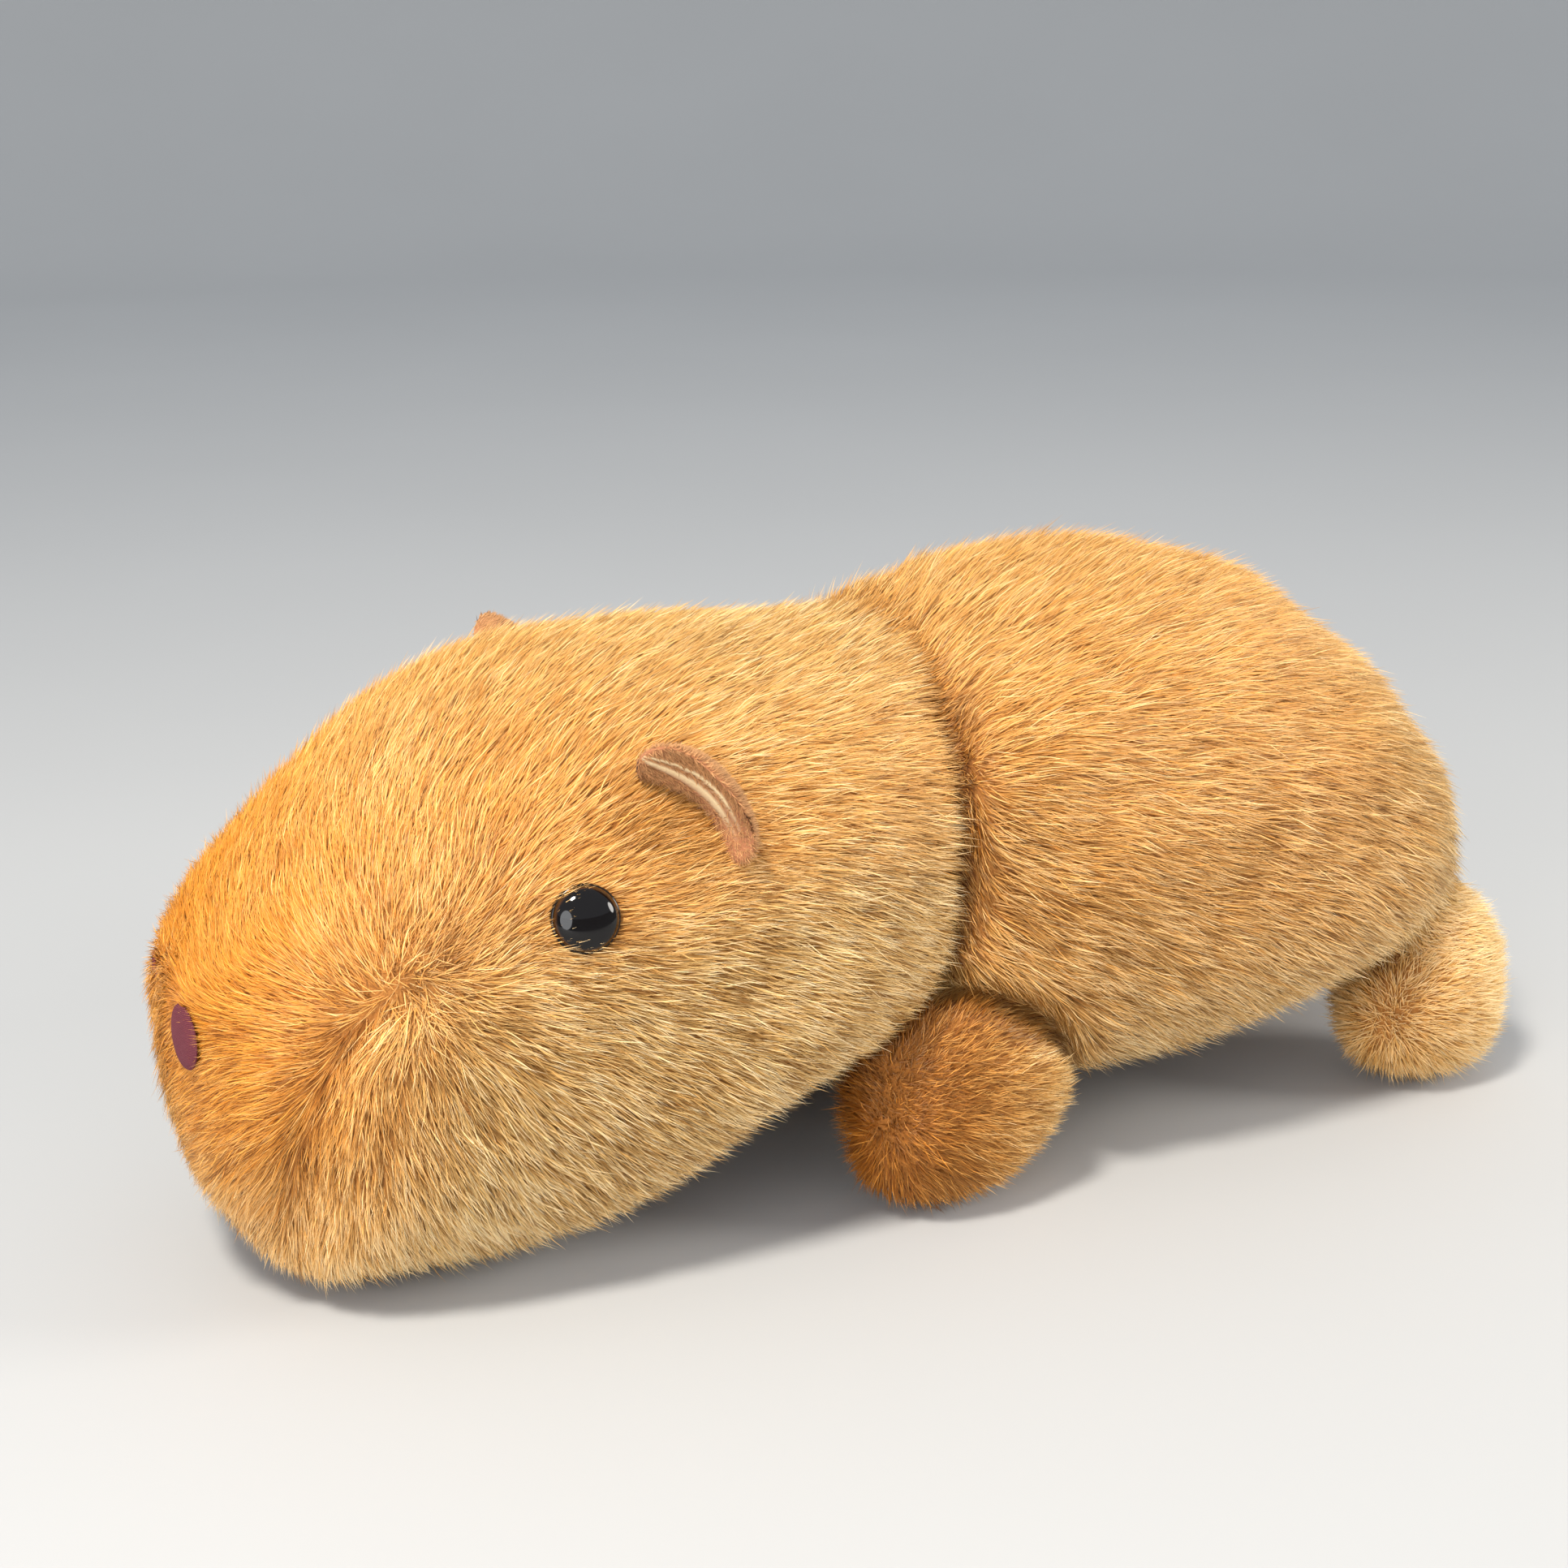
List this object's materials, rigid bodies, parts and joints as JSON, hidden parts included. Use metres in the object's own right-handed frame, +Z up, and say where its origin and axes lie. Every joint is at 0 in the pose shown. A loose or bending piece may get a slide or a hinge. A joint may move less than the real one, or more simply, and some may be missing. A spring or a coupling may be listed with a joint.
{
  "type": "plush capybara toy",
  "caption": "Stuffed plush capybara lying low on its chin and four short paws, with folded velvet ears and domed plastic eyes.",
  "frame": {"origin": "middle of the toy's length and width, on the floor that its chin and paws rest on", "axes": "+Y from nose to rump, +X towards the toy's own left, +Z up"},
  "size_m": [0.1602, 0.3848, 0.1616],
  "materials": {
    "plush": "dense golden tan faux fur",
    "velvet": "short pinkish brown velvet",
    "eye_plastic": "polished dome",
    "thread": "plum satin stitch"
  },
  "bodies": {
    "root": {"head": "plush", "body": "plush", "front_paw_left": "plush", "front_paw_right": "plush", "hind_foot_left": "plush", "hind_foot_right": "plush", "ear_left": "velvet", "ear_right": "velvet", "eye_left": "eye_plastic", "eye_right": "eye_plastic", "nostril_left": "thread", "nostril_right": "thread"}
  },
  "joints": []
}
